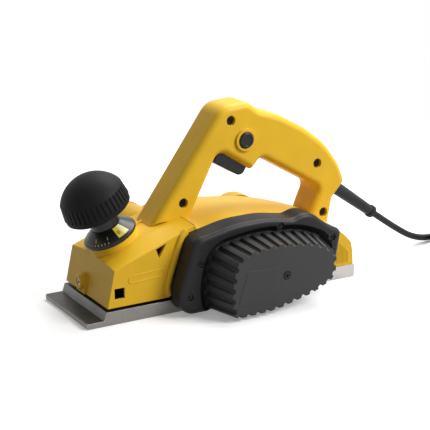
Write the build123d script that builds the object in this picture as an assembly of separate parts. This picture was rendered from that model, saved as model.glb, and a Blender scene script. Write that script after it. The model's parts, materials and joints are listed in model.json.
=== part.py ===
from build123d import *

import os
from math import atan2, cos, degrees, hypot, pi, radians, sin, tan

# Electric hand planer of the 82 mm class, in millimetres.
# Frame: +X towards the rear, where the cord leaves; -Y towards the belt side; +Z up.
# Origin: on the cutting line, where the knives meet the work, at the middle of their width.
# The sole plane is z = 0, the middle of the shoes is y = 0.

# ---------------------------------------------------------------- clearances
slide_gap = 0.08            # radial clearance of a running or sliding fit
seat_gap = 0.05             # a piece in its own seat
moving_gap = 0.6            # between pieces that move past each other
small_gap = 0.35

# ---------------------------------------------------------------- shoes and cut
planing_width = 82.0
cutting_radius = 27.0       # knife edge circle; its lowest point is the cutting line
knife_reach = 2.4           # knife edge beyond the drum's own surface
depth_max = 2.5
front_length = 145.0
rear_length = 145.0
shoe_margin = 5.0           # shoe beyond the knives on each side
shoe_overhang = 1.0         # shoe beyond the body's side
shoe_thickness = 12.7
lip_length = 17.0
lip_thickness = 5.2
step_run = 2.5
mouth_gap = 2.6             # shoe edge to the cutting circle
groove_depth = 2.5
shoe_chamfer = 0.8
tip_clearance = 0.05        # keeps the knife edges just above the sole plane
cheek_gap = 0.8
shoe_screw_front = 52.0     # from the cutting line to the front pair of screws
shoe_screw_back = 17.0      # from the rear edge to the rear pair
shoe_screw_side = 35.5
shoe_screw_length = 22.0
shoe_post_radius = 5.0
shoe_post_height = 14.0

# ---------------------------------------------------------------- body shell
wall = 3.2
seam_x = -35.0
chamber_gap = 2.2           # cutting circle to chamber wall
chamber_wall = 2.8
cheek_bottom = 3.0
cheek_reach = 33.0          # fore-and-aft half length of the side cheeks
shoulder_half = 25.0        # half width of the flat top of the front body
front_face_foot = -124.0
front_face_lean = 7.5 / 35.0
side_line_start = (-126.0, 46.1)    # top edge of the front body's upright sides
side_line_slope = 0.37
seam_crown = 81.0
crown_stations = [
    (-126.0, 46.9), (-117.0, 51.3), (-83.0, 68.5), (-69.0, 73.3), (-59.0, 76.0), (seam_x, seam_crown),
]
body_stations = [           # x, top of the sides, crown
    (0.0, 78.2, 82.2), (25.0, 76.6, 81.0), (50.0, 73.8, 78.4), (75.0, 69.2, 74.2),
    (100.0, 61.4, 67.0), (122.0, 52.0, 57.0), (136.0, 41.0, 44.0), (145.5, 30.0, 32.0),
]
rear_face = [(141.0, 60.0), (140.6, 36.5), (143.0, 26.0), (144.6, 0.0), (160.0, 0.0), (160.0, 60.0)]
recess_outline = [(-75.0, 63.2), (-64.6, 67.2), (-71.8, 54.4)]
recess_depth = 14.0

# ---------------------------------------------------------------- depth knob, on its tilted axis
knob_tilt = 24.5
dial_x = -98.0
dial_z = 68.3
dial_radius = 25.4
dial_height = 12.5
dial_rim = 3.2
neck_radius = 13.6
knob_radius = 30.0          # at the dome's rim
knob_lip_radius = 31.2
knob_lip_start = 27.6       # heights are measured along the axis from the dial's underside
rib_start = 33.0
rib_end = 46.5
rib_step = 0.6              # the ribs' foot stands out this far over the lip
knob_top = 64.5
knob_rib_count = 40
knob_rib_depth = 0.9
cap_skin = 3.0
boss_radius = 24.0
boss_depth = 22.0
stem_radius = 10.0
spindle_radius = 5.0
depth_lead = 3.0            # shoe travel for one turn of the knob
seat_start = -62.5          # the shoe's spring seat and stem
seat_end = -57.0
seat_radius = 14.0
stem_top = -14.0
guide_start = -30.0
dial_start = 0.4
spindle_start = -44.0
spindle_top = 52.0
rib_clear = 1.0             # how far the knob's groove cutters reach past its skin
rib_width = 1.5
spring_wire = 1.6
spring_turns = 5
spring_clear = 1.0

# ---------------------------------------------------------------- motor
motor_x = 66.0
motor_z = 46.5
motor_bore = 22.5
stator_half = 20.0
armature_radius = 14.0
air_gap = 0.5
shaft_radius = 4.0
commutator_radius = 9.0
fan_radius = 20.5
end_cap_radius = 25.6
end_cap_depth = 19.0
end_cap_wall = 3.0
vent_count = 10
vent_radius = 18.0
vent_length = 8.0
vent_width = 4.4
winding_reach = 6.0
armature_slots = 12
slot_depth = 5.0
slot_width = 2.0
stator_slot_outer = 20.5
coil_half = 10.0
fan_front = 2.0             # fan's front face behind the bearing plate
fan_depth = 10.0
fan_disc = 1.6
fan_hub = 4.0
fan_blades = 9
commutator_gap = 1.5
commutator_length = 13.5
brush_margin = 3.0
brush_half = 3.0
brush_length = 9.0
holder_wall = 1.2

# ---------------------------------------------------------------- cutter drum
drum_bore = 6.0
knife_thickness = 1.1
knife_depth = 12.0
clamp_thickness = 8.0
clamp_depth = 10.0
clamp_bolt_radius = 2.0
clamp_bolt_head = 3.3
clamp_set_back = 0.8        # clamp's outer face below the drum's surface
clamp_bolt_root = 5.0       # bolt's reach below the clamp
knife_angles = [15.0, 195.0]
bolt_spots = [-28.0, 0.0, 28.0]

# ---------------------------------------------------------------- bearings: bore, outer radius, width
drum_bearing_outer_radius = 16.0
drum_bearing_width = 10.0
motor_bearing_outer_radius = 11.0
motor_bearing_width = 7.0
bearing_race = 2.2

# ---------------------------------------------------------------- belt drive
plate_thickness = 10.0
cover_depth = 23.0          # drive cover, from the body side outwards
cover_wall = 3.4
cover_round = 5.0
valley_depth = 6.5
cover_floor = 3.5
belt_cover_depth = 37.0
belt_cover_wall = 2.9
rib_groove_count = 30
rib_groove_radius = 2.7
drum_pulley_radius = 17.0
motor_pulley_radius = 8.5
pulley_width = 13.0
pulley_flange = 1.6
pulley_flange_width = 1.5
belt_thickness = 2.2
belt_width = 9.0
screw_post_radius = 4.5
rib_land = 2.0              # flat land between the rib grooves and the base
pulley_groove_count = 4
pulley_groove_pitch = 2.34
pulley_groove_depth = 1.0
belt_gap = 0.35
bearing_cap_overlap = 3.4
bearing_cap_end = 2.6
cover_outline = [           # x, z, corner radius
    (-59.5, 3.0, 14), (-62.8, 24, 30), (-45.8, 73.2, 11), (-5, 82.0, 120), (30, 82.4, 100), (58, 77.6, 12),
    (75, 83.0, 22), (100, 64.5, 14), (113.5, 58.5, 6), (109, 31, 40), (97, 12, 25), (60, 3.0, 60),
]
cover_screw_spots = [(-53.0, 20.5), (-42.0, 50.0), (43.0, 73.0), (102.0, 53.0)]
belt_base_outline = [
    (-33, 3.6, 8), (-37, 24, 60), (-31, 62, 24), (20, 69.8, 140), (66, 65.5, 70),
    (97, 53, 18), (95, 22, 18), (62, 10.5, 60), (20, 3.6, 120),
]
belt_face_outline = [
    (-23, 3.8, 5), (-27.5, 26, 60), (-20.5, 62.5, 20), (20, 67.8, 120), (62, 62.5, 60),
    (86, 50, 14), (84.5, 25, 14), (60, 14.5, 60), (20, 5.2, 120),
]
belt_screw_x = 31.0
plate_screw_spots = [(-29.5, 62.0), (40.0, 25.5), (94.0, 31.0)]
screw_grip = 9.0            # how far the plate screws reach into the housings

# ---------------------------------------------------------------- handle
handle_half = 18.5
handle_wall = 3.4
handle_round = 6.5
handle_round_start = 60.0       # the outer edges are rounded above this height
grip_slope = 30.1
grip_origin = (6.0, 139.0)      # front end of the underside that carries the trigger
grip_step = 13.0                # the grip's underside lies this much higher behind the trigger
trigger_half = 11.5
trigger_front = 4.4             # places along the grip's underside, from its front end
trigger_rear = 41.0
trigger_reach = 12.2
trigger_inside = 6.6
trigger_flange = 2.0
trigger_travel = 5.0
trigger_spring_place = 9.0
trigger_spring_radius = 3.0
trigger_spring_wire = 0.8
switch_height = 17.0
switch_half = 11.0
switch_nub = 0.6            # how far the switch's button stands out towards the trigger
suppressor_size = (22.0, 13.0, 9.0)
suppressor_place = (72.0, grip_step + 21.0)
lock_x = 34.6
lock_z = 145.6
lock_radius = 7.6
lock_ring_radius = 10.6
lock_ring_height = 2.0
lock_travel = 3.0
lock_proud = 1.2
lock_stem_radius = 4.4
lock_inner_y = -15.8
lock_spring_radius = 2.6
lock_spring_wire = 0.7

# ---------------------------------------------------------------- screws
cover_screw_radius = 2.0
cover_screw_head = 3.6
handle_screw_radius = 2.0
handle_screw_head = 4.0
handle_hole_radius = 4.7
shoe_screw_radius = 2.5
shoe_screw_head = 4.6
handle_screw_spots = [(18.8, 165.6), (-32.0, 93.5), (117.0, 112.5), (125.4, 61.8)]
handle_screw_grip = 12.0        # how far the shanks reach past the middle plane
handle_counterbore = 6.0
head_height = 2.6
screw_sunk = 0.3            # heads below the sole
hex_socket_radius = 1.7
hex_socket_depth = 4.0

# ---------------------------------------------------------------- fence socket and chip outlet
fence_hole = 10.0
fence_x = -112.0
fence_z = 28.0
fence_screw_y = 9.5
fence_screw_z = 25.2
fence_boss_radius = 8.5
fence_boss_reach = 3.6
fence_boss_root = 6.0
fence_collar_radius = 7.0
fence_collar_reach = 2.6
fence_screw_hole = 3.6
fence_screw_length = 10.0
fence_screw_sunk = 0.8
throat_x = -8.0             # where the chip way opens from the drum chamber
throat_y = 8.0
chute_x = -52.0
chute_z = 59.0
duct_radius = 16.5
chute_wall = 3.0
chute_reach = 18.0
spout_bore = 17.0
spout_wall = 2.0
spout_rim = 3.0
hump_start = 14.0           # where the outlet's round hump rises out of the body's top
hump_end = 30.0

# ---------------------------------------------------------------- cord
cord_radius = 3.5
cord_exit = (147.6, 82.35)
relief_length = 63.0
relief_drop = 35.0          # degrees below level at which the strain relief points
relief_root = 6.6
relief_tip = 5.4
relief_inside = 12.0
relief_bead = 1.1
relief_bead_length = 4.0
clamp_place = 8.0           # middle of the cord clamp behind the relief's inner end
clamp_size = (19.0, 11.0, 7.0)
inner_cord_length = 14.0
first_run = 21.0
coil_x = 318.0
coil_y = -40.0
coil_mid_radius = 42.0
coil_columns = 3
coil_layers = 3
plug_length = 38.0
plug_half_width = 17.0
plug_height = 20.0
plug_offset = (-20.0, -36.0)    # plug's back end from the coil's middle
pin_radius = 2.4
pin_spread = 9.5
pin_length = 19.0
pin_root_radius = 1.6
pin_root_length = 8.0

# ---------------------------------------------------------------- worked-out places
shoe_width = planing_width + 2 * shoe_margin
body_half = shoe_width / 2 - shoe_overhang
drum_z = cutting_radius
tip_radius = cutting_radius - tip_clearance
drum_radius = tip_radius - knife_reach
chamber_radius = cutting_radius + chamber_gap
tilt_sin = sin(radians(knob_tilt))
tilt_cos = cos(radians(knob_tilt))
front_gap = depth_max * tilt_cos + small_gap
front_bottom = shoe_thickness + front_gap
side_y = -body_half
plate_y = side_y - plate_thickness
cover_face_y = side_y - cover_depth
belt_seat_y = cover_face_y + valley_depth
belt_face_y = belt_seat_y - belt_cover_depth
pulley_y1 = belt_seat_y - 6.0
pulley_y0 = pulley_y1 - pulley_width
shaft_end_y = pulley_y0 - 6.0
belt_y = (pulley_y0 + pulley_y1) / 2
drum_half = planing_width / 2
chamber_half = drum_half + 0.5
knob_axis = Plane(origin=(dial_x, 0, dial_z), z_dir=(-tilt_sin, 0, tilt_cos), x_dir=(tilt_cos, 0, tilt_sin))


# ---------------------------------------------------------------- shape helpers
def box(x0, x1, y0, y1, z0, z1):
    """Axis-parallel block between two corners."""
    centre = ((x0 + x1) / 2, (y0 + y1) / 2, (z0 + z1) / 2)
    return Pos(*centre) * Box(x1 - x0, y1 - y0, z1 - z0)


def side_plane(y):
    """Plane seen from the belt side: local x is +X, local y is +Z, normal is -Y."""
    return Plane(origin=(0, y, 0), x_dir=(1, 0, 0), z_dir=(0, -1, 0))


def slab(face, y0, y1):
    """A side-view face extruded from y0 to y1."""
    return extrude(side_plane(y1) * face, y1 - y0)


def rod(x, z, radius, y0, y1):
    """Cylinder along Y."""
    return slab(Pos(x, z) * Circle(radius), y0, y1)


def tube(x, z, outer, inner, y0, y1):
    """Hollow cylinder along Y."""
    return rod(x, z, outer, y0, y1) - rod(x, z, inner, y0, y1)


def disc(radius, start, end):
    """Cylinder about the knob's tilted axis between two heights."""
    return knob_axis * Pos(0, 0, (start + end) / 2) * Cylinder(radius, end - start)


def rounded(corners):
    """Closed side-view outline from (x, z, corner radius) triples."""
    points = [(x, z) for x, z, r in corners]
    radii = [r for x, z, r in corners]
    return make_face(FilletPolyline(*points, radius=radii, close=True))


def polygon(points):
    return make_face(Polyline(*points, close=True))


def ring_face(outer, inner):
    return Circle(outer) - Circle(inner)


def joined(pieces):
    """Separate solids kept as one group."""
    return Compound(children=list(pieces))


def spring(radius, wire, length, turns):
    """Compression spring standing on its local z axis."""
    path = Helix(length / turns, length, radius)
    profile = Plane(origin=path @ 0, z_dir=path % 0) * Circle(wire / 2)
    return sweep(profile, path=path, is_frenet=True)


# ---------------------------------------------------------------- shoes
def drum_space(extra):
    return rod(0, drum_z, cutting_radius + extra, -shoe_width, shoe_width)


def cheek_notches():
    """Corners of the shoes cut away for the body's side cheeks."""
    reach = cheek_reach + cheek_gap
    depth = chamber_half - cheek_gap
    near = box(-reach, reach, -shoe_width, -depth, -1, shoe_thickness + 1)
    far = box(-reach, reach, depth, shoe_width, -1, shoe_thickness + 1)
    return near + far


shoe_screw_spots = [
    (x, y)
    for x in (shoe_screw_front, rear_length - shoe_screw_back)
    for y in (-shoe_screw_side, shoe_screw_side)
]


def rear_shoe():
    half = shoe_width / 2
    plate = box(0, rear_length, -half, half, 0, shoe_thickness)
    rear_edges = plate.edges().filter_by(Axis.Y).sort_by(Axis.X)[-2:]
    plate = chamfer(rear_edges, shoe_chamfer)
    plate -= drum_space(mouth_gap)
    plate -= cheek_notches()
    for x, y in shoe_screw_spots:
        plate -= Pos(x, y, head_height / 2) * Cylinder(shoe_screw_head + seat_gap, head_height)
        plate -= Pos(x, y, shoe_thickness / 2) * Cylinder(shoe_screw_radius + seat_gap, shoe_thickness)
    return plate


def shoe_screws():
    screws = []
    for x, y in shoe_screw_spots:
        head = Pos(x, y, head_height / 2) * Cylinder(shoe_screw_head, head_height - 2 * screw_sunk)
        shank = Pos(x, y, shoe_screw_length / 2 + 1) * Cylinder(shoe_screw_radius, shoe_screw_length - 2)
        socket = Pos(x, y, screw_sunk) * extrude(RegularPolygon(hex_socket_radius, 6), 1.6)
        screws.append(head + shank - socket)
    return joined(screws)


pocket_radius = seat_radius + spring_clear


def front_shoe():
    half = shoe_width / 2
    front = -front_length
    step_front = front + lip_length
    section = polygon([
        (front, 0),
        (0, 0),
        (0, shoe_thickness),
        (step_front + step_run, shoe_thickness),
        (step_front, lip_thickness),
        (front, lip_thickness),
    ])
    plate = slab(section, -half, half)
    front_edges = plate.edges().filter_by(Axis.Y).sort_by(Axis.X)[:2]
    plate = chamfer(front_edges, shoe_chamfer)
    plate -= drum_space(mouth_gap)
    plate -= cheek_notches()
    groove = Polyline((-groove_depth, 0), (0, groove_depth), (groove_depth, 0), close=True)
    groove_face = Plane(origin=(front, 0, 0), z_dir=(1, 0, 0), x_dir=(0, 1, 0)) * make_face(groove)
    plate -= extrude(groove_face, front_length)
    seat = disc(seat_radius, seat_start, seat_end)
    stem = disc(stem_radius, seat_start, stem_top)
    threaded_hole = disc(spindle_radius + slide_gap, stem_top - 34, stem_top + 1)
    return plate + seat + stem - threaded_hole


def shoe_spring():
    radius = stem_radius + spring_wire / 2 + spring_clear / 2 + 0.3
    start = seat_end + spring_wire / 2 + 0.1
    length = guide_start - seat_end - spring_wire - 0.4
    return knob_axis * Pos(0, 0, start) * spring(radius, spring_wire, length, spring_turns)


# ---------------------------------------------------------------- front body
def front_section(x, side, crown, bottom, inset):
    """Cross-section of the front body: upright sides, sloping shoulders, flat top."""
    half = body_half - inset
    top_half = shoulder_half - inset / 2
    points = [(-half, bottom), (half, bottom), (half, side - inset), (top_half, crown - inset),
              (-top_half, crown - inset), (-half, side - inset)]
    return Plane(origin=(x, 0, 0), z_dir=(1, 0, 0), x_dir=(0, 1, 0)) * polygon(points)


def side_height(x):
    return side_line_start[1] + side_line_slope * (x - side_line_start[0])


def front_shell(inset):
    bottom = front_bottom - (1.0 if inset else 0.0)
    shape = loft([front_section(x, side_height(x), crown, bottom, inset) for x, crown in crown_stations])
    foot = front_face_foot + inset
    top = foot + front_face_lean * (90 - front_bottom)
    lean = polygon([(foot - 60, 0), (foot - front_face_lean * front_bottom, 0), (top, 90), (foot - 60, 90)])
    return shape - slab(lean, -60, 60)


throat_z = drum_z + chamber_radius * 0.55


def duct(radius, far_end):
    """Chip way: from the drum chamber up and out to the side away from the belt."""
    outlet = rod(chute_x, chute_z, radius, -radius, far_end)
    rise = chute_z - throat_z
    run = chute_x - throat_x
    middle = Pos((chute_x + throat_x) / 2, throat_y, (chute_z + throat_z) / 2)
    turn = Rot(0, -degrees(atan2(rise, run)), 0)
    neck = middle * turn * Box(hypot(rise, run), radius * 2.6, radius * 1.3)
    return outlet, neck


def fence_boss():
    """Round-topped pad on the front face with a collar for the fence clamp screw."""
    face_x = front_face_foot + front_face_lean * (fence_screw_z - front_bottom)
    pad_start = face_x - fence_boss_reach
    end = face_x + fence_boss_root
    along_x = Rot(0, 90, 0)
    middle = (pad_start + end) / 2
    pad = Pos(middle, fence_screw_y, fence_screw_z) * along_x * Cylinder(fence_boss_radius, end - pad_start)
    near = fence_screw_y - fence_boss_radius
    foot = box(pad_start, end, near, near + 2 * fence_boss_radius, front_bottom, fence_screw_z)
    start = pad_start - fence_collar_reach
    collar_place = Pos((start + end) / 2, fence_screw_y, fence_screw_z) * along_x
    collar = collar_place * Cylinder(fence_collar_radius, end - start)
    collar = chamfer(collar.edges().sort_by(Axis.X)[0], 1.0)
    return pad + foot + collar, start


def outlet_hump():
    """Round hump over the chip outlet on the far side: a cone, then a cylinder up to the side face."""
    radius = duct_radius + chute_wall
    low = side_plane(hump_start) * Pos(chute_x, chute_z) * Circle(radius - chute_wall)
    high = side_plane(hump_end) * Pos(chute_x, chute_z) * Circle(radius)
    hump = loft([low, high]) + rod(chute_x, chute_z, radius, hump_end, body_half)
    return hump & box(-200, seam_x, 0, body_half, 0, 120)


def front_housing():
    outer = front_shell(0)
    inner = front_shell(wall) & box(-200, seam_x - wall, -60, 60, front_bottom - 1, 100)
    shell = outer - inner
    boss, boss_start = fence_boss()
    outlet, neck = duct(duct_radius + wall, body_half - 0.5)
    solid_parts = [
        disc(pocket_radius + wall, -70, -4) & outer,
        (outlet + neck) & outer,
        box(fence_x - 9, fence_x + 9, side_y, body_half, front_bottom, fence_z + 8) & outer,
        disc(boss_radius, -boss_depth, 0),
        boss,
        outlet_hump(),
    ]
    for part in solid_parts:
        shell += part
    bore, throat = duct(duct_radius, body_half + 1)
    shell -= bore
    shell -= throat
    shell -= Pos(fence_x, 0, fence_z) * Box(fence_hole, 4 * body_half, fence_hole)
    shell -= disc(stem_radius + slide_gap, guide_start - 1, -6)
    shell -= disc(pocket_radius, -80, guide_start)
    shell -= disc(spindle_radius + 0.5, -8, 1)
    screw_place = Pos(boss_start + 10, fence_screw_y, fence_screw_z) * Rot(0, 90, 0)
    shell -= screw_place * Cylinder(fence_screw_hole, 30)
    shell -= slab(polygon(recess_outline), side_y - 1, side_y + recess_depth)
    shell -= box(-140, -30, -60, 60, -5, front_bottom)
    return shell


def fence_clamp_screw():
    boss, boss_start = fence_boss()
    place = Pos(boss_start + fence_screw_sunk, fence_screw_y, fence_screw_z) * Rot(0, 90, 0)
    middle = Pos(0, 0, fence_screw_length / 2)
    screw = place * middle * Cylinder(fence_screw_hole - seat_gap, fence_screw_length)
    return screw - place * extrude(RegularPolygon(hex_socket_radius, 6), hex_socket_depth)


# ---------------------------------------------------------------- main body
def crowned_section(x, side, crown, inset):
    half = body_half - inset
    base = Line((half, 0), (-half, 0))
    left = Line((-half, 0), (-half, side - inset))
    arc = ThreePointArc((-half, side - inset), (0, crown - inset), (half, side - inset))
    right = Line((half, side - inset), (half, 0))
    return Plane(origin=(x, 0, 0), z_dir=(1, 0, 0), x_dir=(0, 1, 0)) * make_face([base, left, arc, right])


def main_shell(inset):
    stations = [(seam_x, side_height(seam_x), seam_crown)] + body_stations
    shape = loft([crowned_section(x, side, crown, inset) for x, side, crown in stations])
    trim = Pos(-inset, 0) * polygon(rear_face)
    return shape - slab(trim, -60, 60)


def main_housing():
    outer = main_shell(0) & box(-200, 200, -60, 60, shoe_thickness, 120)
    inner = main_shell(wall) & box(seam_x + wall, 200, -60, 60, 0, 120)
    shell = outer - inner
    outlet, neck = duct(duct_radius + wall, body_half)
    bore, throat = duct(duct_radius, body_half)
    ring = rod(0, drum_z, chamber_radius + chamber_wall, -body_half, body_half)
    motor_tube = rod(motor_x, motor_z, motor_bore + wall, -body_half, body_half)
    shell += ring & outer
    shell += motor_tube & outer
    shell += neck & outer
    for x, y in shoe_screw_spots:
        post = Cylinder(shoe_post_radius, shoe_post_height)
        shell += Pos(x, y, shoe_thickness + shoe_post_height / 2) * post
    for x, z in plate_screw_spots:
        shell += rod(x, z, cover_screw_radius + 2.4, side_y, side_y + screw_grip) & outer
    cheeks = box(-cheek_reach, cheek_reach, -body_half, body_half, cheek_bottom, front_bottom + 6)
    shell += cheeks - box(-60, 60, -chamber_half, chamber_half, 0, 60)
    shell -= rod(0, drum_z, chamber_radius, side_y - 1, chamber_half)
    shell -= rod(0, drum_z, drum_bearing_outer_radius + seat_gap, 0, body_half + 1)
    shell -= rod(motor_x, motor_z, motor_bore, side_y - 1, body_half + 1)
    shell -= throat
    shell -= box(seam_x - 1, 0, -chamber_half, chamber_half, 0, front_bottom)
    shell -= box(seam_x - 1, -cheek_reach, -60, 60, 0, front_bottom)
    for x, y in shoe_screw_spots:
        hole = Cylinder(shoe_screw_radius + seat_gap, shoe_screw_length + 1)
        shell -= Pos(x, y, shoe_screw_length / 2) * hole
    for x, z in plate_screw_spots:
        shell -= rod(x, z, cover_screw_radius + seat_gap, side_y - 1, side_y + screw_grip - 1)
    return shell


# ---------------------------------------------------------------- belt side: plate, covers
belt_screw_z = drum_z + (motor_z - drum_z) * belt_screw_x / motor_x


def shoe_relief():
    """Room for the shoes' near edge under the belt-side pieces."""
    near = -(shoe_width / 2 + moving_gap)
    return box(-front_length, rear_length, near, side_y + 1, -1, front_bottom)


def bearing_plate():
    outline = offset(rounded(cover_outline), -(cover_wall + small_gap))
    plate = slab(outline, plate_y, side_y)
    for x, z in cover_screw_spots:
        plate -= rod(x, z, cover_screw_radius + seat_gap, plate_y - 1, side_y + 1)
    drum_seat = plate_y + drum_bearing_width
    plate -= rod(0, drum_z, drum_bearing_outer_radius + seat_gap, plate_y - 1, drum_seat + 1)
    motor_seat = plate_y + motor_bearing_width
    plate -= rod(motor_x, motor_z, motor_bearing_outer_radius + seat_gap, plate_y - 1, motor_seat)
    plate -= rod(motor_x, motor_z, shaft_radius + moving_gap, plate_y - 1, side_y + 1)
    for x, z in plate_screw_spots:
        plate -= rod(x, z, cover_screw_radius + seat_gap, plate_y - 1, side_y + 1)
        plate -= rod(x, z, cover_screw_head + seat_gap, plate_y - 1, plate_y + head_height)
    return plate - shoe_relief()


def plate_screws():
    screws = []
    for x, z in plate_screw_spots:
        head = rod(x, z, cover_screw_head, plate_y + 0.2, plate_y + head_height)
        shank = rod(x, z, cover_screw_radius, plate_y + head_height, side_y + screw_grip - 2)
        screws.append(cross_slotted(head + shank, x, z, plate_y + 0.2))
    return joined(screws)


def drive_cover():
    body = slab(rounded(cover_outline), cover_face_y, side_y)
    body = fillet(body.faces().sort_by(Axis.Y)[0].edges(), cover_round)
    base = rounded(belt_base_outline)
    top = side_plane(cover_face_y - 0.5) * offset(base, valley_depth)
    foot = side_plane(belt_seat_y) * offset(base, 0.6)
    body -= loft([foot, top], ruled=True)
    cavity = slab(offset(rounded(cover_outline), -cover_wall), belt_seat_y + cover_floor, side_y + 1)
    for x, z in cover_screw_spots:
        cavity -= rod(x, z, cover_screw_radius + 3.2, cover_face_y, plate_y)
    body -= cavity
    body -= shoe_relief()
    body += rod(belt_screw_x, belt_screw_z, screw_post_radius, belt_face_y + belt_cover_wall, belt_seat_y + 1)
    body -= rod(belt_screw_x, belt_screw_z, cover_screw_radius + seat_gap, belt_face_y, belt_seat_y - 4)
    body -= rod(0, drum_z, drum_bore + 3, cover_face_y, side_y)
    body -= rod(motor_x, motor_z, shaft_radius + 3, cover_face_y, side_y)
    for x, z in cover_screw_spots:
        body -= rod(x, z, cover_screw_radius + seat_gap, cover_face_y, plate_y)
        body -= rod(x, z, cover_screw_head + seat_gap, cover_face_y - 1, cover_face_y + 4)
    return body


def cover_screws():
    screws = []
    for x, z in cover_screw_spots:
        head = rod(x, z, cover_screw_head, cover_face_y + 4 - head_height, cover_face_y + 4)
        shank = rod(x, z, cover_screw_radius, cover_face_y + 4, side_y - 1.5)
        screws.append(cross_slotted(head + shank, x, z, cover_face_y + 4 - head_height))
    return joined(screws)


def cross_slotted(screw, x, z, face_y):
    """Cross recess in a screw head that faces the belt side."""
    bar = Pos(x, face_y, z) * Box(3.6, 2.4, 0.9)
    cross = Pos(x, face_y, z) * Box(0.9, 2.4, 3.6)
    return screw - bar - cross


def belt_cover():
    base = rounded(belt_base_outline)
    face = rounded(belt_face_outline)
    body = loft([side_plane(belt_seat_y) * base, side_plane(belt_face_y) * face], ruled=True)
    inside = loft([
        side_plane(belt_seat_y + 0.01) * offset(base, -belt_cover_wall),
        side_plane(belt_face_y + belt_cover_wall) * offset(face, -belt_cover_wall),
    ], ruled=True)
    body -= inside
    base_wire = side_plane(belt_seat_y) * base.wire()
    face_wire = side_plane(belt_face_y) * face.wire()
    for i in range(rib_groove_count):
        low = base_wire @ (i / rib_groove_count)
        high = face_wire @ (i / rib_groove_count)
        groove = Plane(origin=(low + high) / 2, z_dir=high - low)
        body -= groove * Pos(0, 0, rib_land) * Cylinder(rib_groove_radius, (high - low).length)
    body -= rod(belt_screw_x, belt_screw_z, cover_screw_radius + seat_gap, belt_face_y - 1, belt_seat_y)
    body -= rod(belt_screw_x, belt_screw_z, cover_screw_head + 0.6, belt_face_y - 1, belt_face_y + 1.4)
    return body


def belt_cover_screw():
    face = belt_face_y + 1.4
    head = rod(belt_screw_x, belt_screw_z, cover_screw_head, face - head_height + 0.8, face)
    shank = rod(belt_screw_x, belt_screw_z, cover_screw_radius, face, belt_seat_y - 5)
    return cross_slotted(head + shank, belt_screw_x, belt_screw_z, face - head_height + 0.8)


# ---------------------------------------------------------------- bearings
def bearing(x, z, bore, outer, y0, y1):
    """Inner race and balls' shield as one ring, outer race as another, joined by the shield."""
    ring = tube(x, z, outer, bore, y0, y1)
    shield = tube(x, z, outer - bearing_race, bore + bearing_race, y0 - 1, y0 + 0.4)
    return ring - shield


def drum_bearing_drive():
    return bearing(0, drum_z, drum_bore, drum_bearing_outer_radius, plate_y, plate_y + drum_bearing_width)


def drum_bearing_far():
    start = chamber_half + 0.8
    return bearing(0, drum_z, drum_bore, drum_bearing_outer_radius, start, start + drum_bearing_width)


def motor_bearing_drive():
    end = plate_y + motor_bearing_width
    return bearing(motor_x, motor_z, shaft_radius, motor_bearing_outer_radius, plate_y, end)


def motor_bearing_rear():
    end = body_half + end_cap_depth - end_cap_wall
    return bearing(motor_x, motor_z, shaft_radius, motor_bearing_outer_radius, end - motor_bearing_width, end)


def drum_bearing_cap():
    """Cup over the drum's far bearing."""
    end = chamber_half + 0.8 + drum_bearing_width
    cup = rod(0, drum_z, drum_bearing_outer_radius + bearing_cap_overlap, body_half, end + bearing_cap_end)
    cup = fillet(cup.edges().sort_by(Axis.Y)[-1], 2)
    return cup - rod(0, drum_z, drum_bearing_outer_radius + seat_gap, body_half - 1, end)


# ---------------------------------------------------------------- cutter drum
def at_drum(angle):
    """Local frame on the drum: x is radial, y is tangential, z runs along the drum."""
    direction = (cos(radians(angle)), 0, sin(radians(angle)))
    return Plane(origin=(0, 0, drum_z), x_dir=direction, z_dir=(0, -1, 0))


def drum_box(angle, r0, r1, t0, t1, half):
    return at_drum(angle) * Pos((r0 + r1) / 2, (t0 + t1) / 2, 0) * Box(r1 - r0, t1 - t0, 2 * half)


clamp_top = drum_radius - clamp_set_back
clamp_start = knife_thickness / 2 + seat_gap


def cutter_drum():
    body = rod(0, drum_z, drum_radius, -drum_half, drum_half)
    for angle in knife_angles:
        slot_end = clamp_start + clamp_thickness
        slot_root = tip_radius - knife_depth
        body -= drum_box(angle, slot_root, tip_radius, -clamp_start, clamp_start, drum_half + 1)
        body -= drum_box(angle, clamp_top - clamp_depth, tip_radius, clamp_start, slot_end, drum_half + 1)
        for place in bolt_spots:
            body -= clamp_bolt_shape(angle, place, seat_gap)
    return body - rod(0, drum_z, drum_bore + 0.01, -60, 60)


def knife(angle):
    half = knife_thickness / 2
    return drum_box(angle, tip_radius - knife_depth, tip_radius, -half, half, drum_half)


def clamp_bolt_shape(angle, place, grow):
    middle = clamp_start + clamp_thickness / 2
    frame = at_drum(angle) * Pos(0, middle, place) * Rot(0, 90, 0)
    root = clamp_top - clamp_depth - clamp_bolt_root
    shank = frame * Pos(0, 0, (root + clamp_top) / 2) * Cylinder(clamp_bolt_radius + grow, clamp_top - root)
    head = frame * Pos(0, 0, clamp_top) * Cylinder(clamp_bolt_head + grow, 2 * head_height)
    return shank + head


def knife_clamp(angle):
    start = clamp_start
    block = drum_box(angle, clamp_top - clamp_depth, clamp_top, start, start + clamp_thickness, drum_half)
    for place in bolt_spots:
        block -= clamp_bolt_shape(angle, place, seat_gap)
    return block


def clamp_bolts():
    bolts = []
    for angle in knife_angles:
        for place in bolt_spots:
            bolt = clamp_bolt_shape(angle, place, 0)
            bolts.append(bolt - drum_box(angle, clamp_top, 60, -20, 20, 60))
    return joined(bolts)


def drum_shaft():
    far_end = chamber_half + 0.8 + drum_bearing_width
    shaft = rod(0, drum_z, drum_bore - 0.01, shaft_end_y, far_end)
    return shaft


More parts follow.
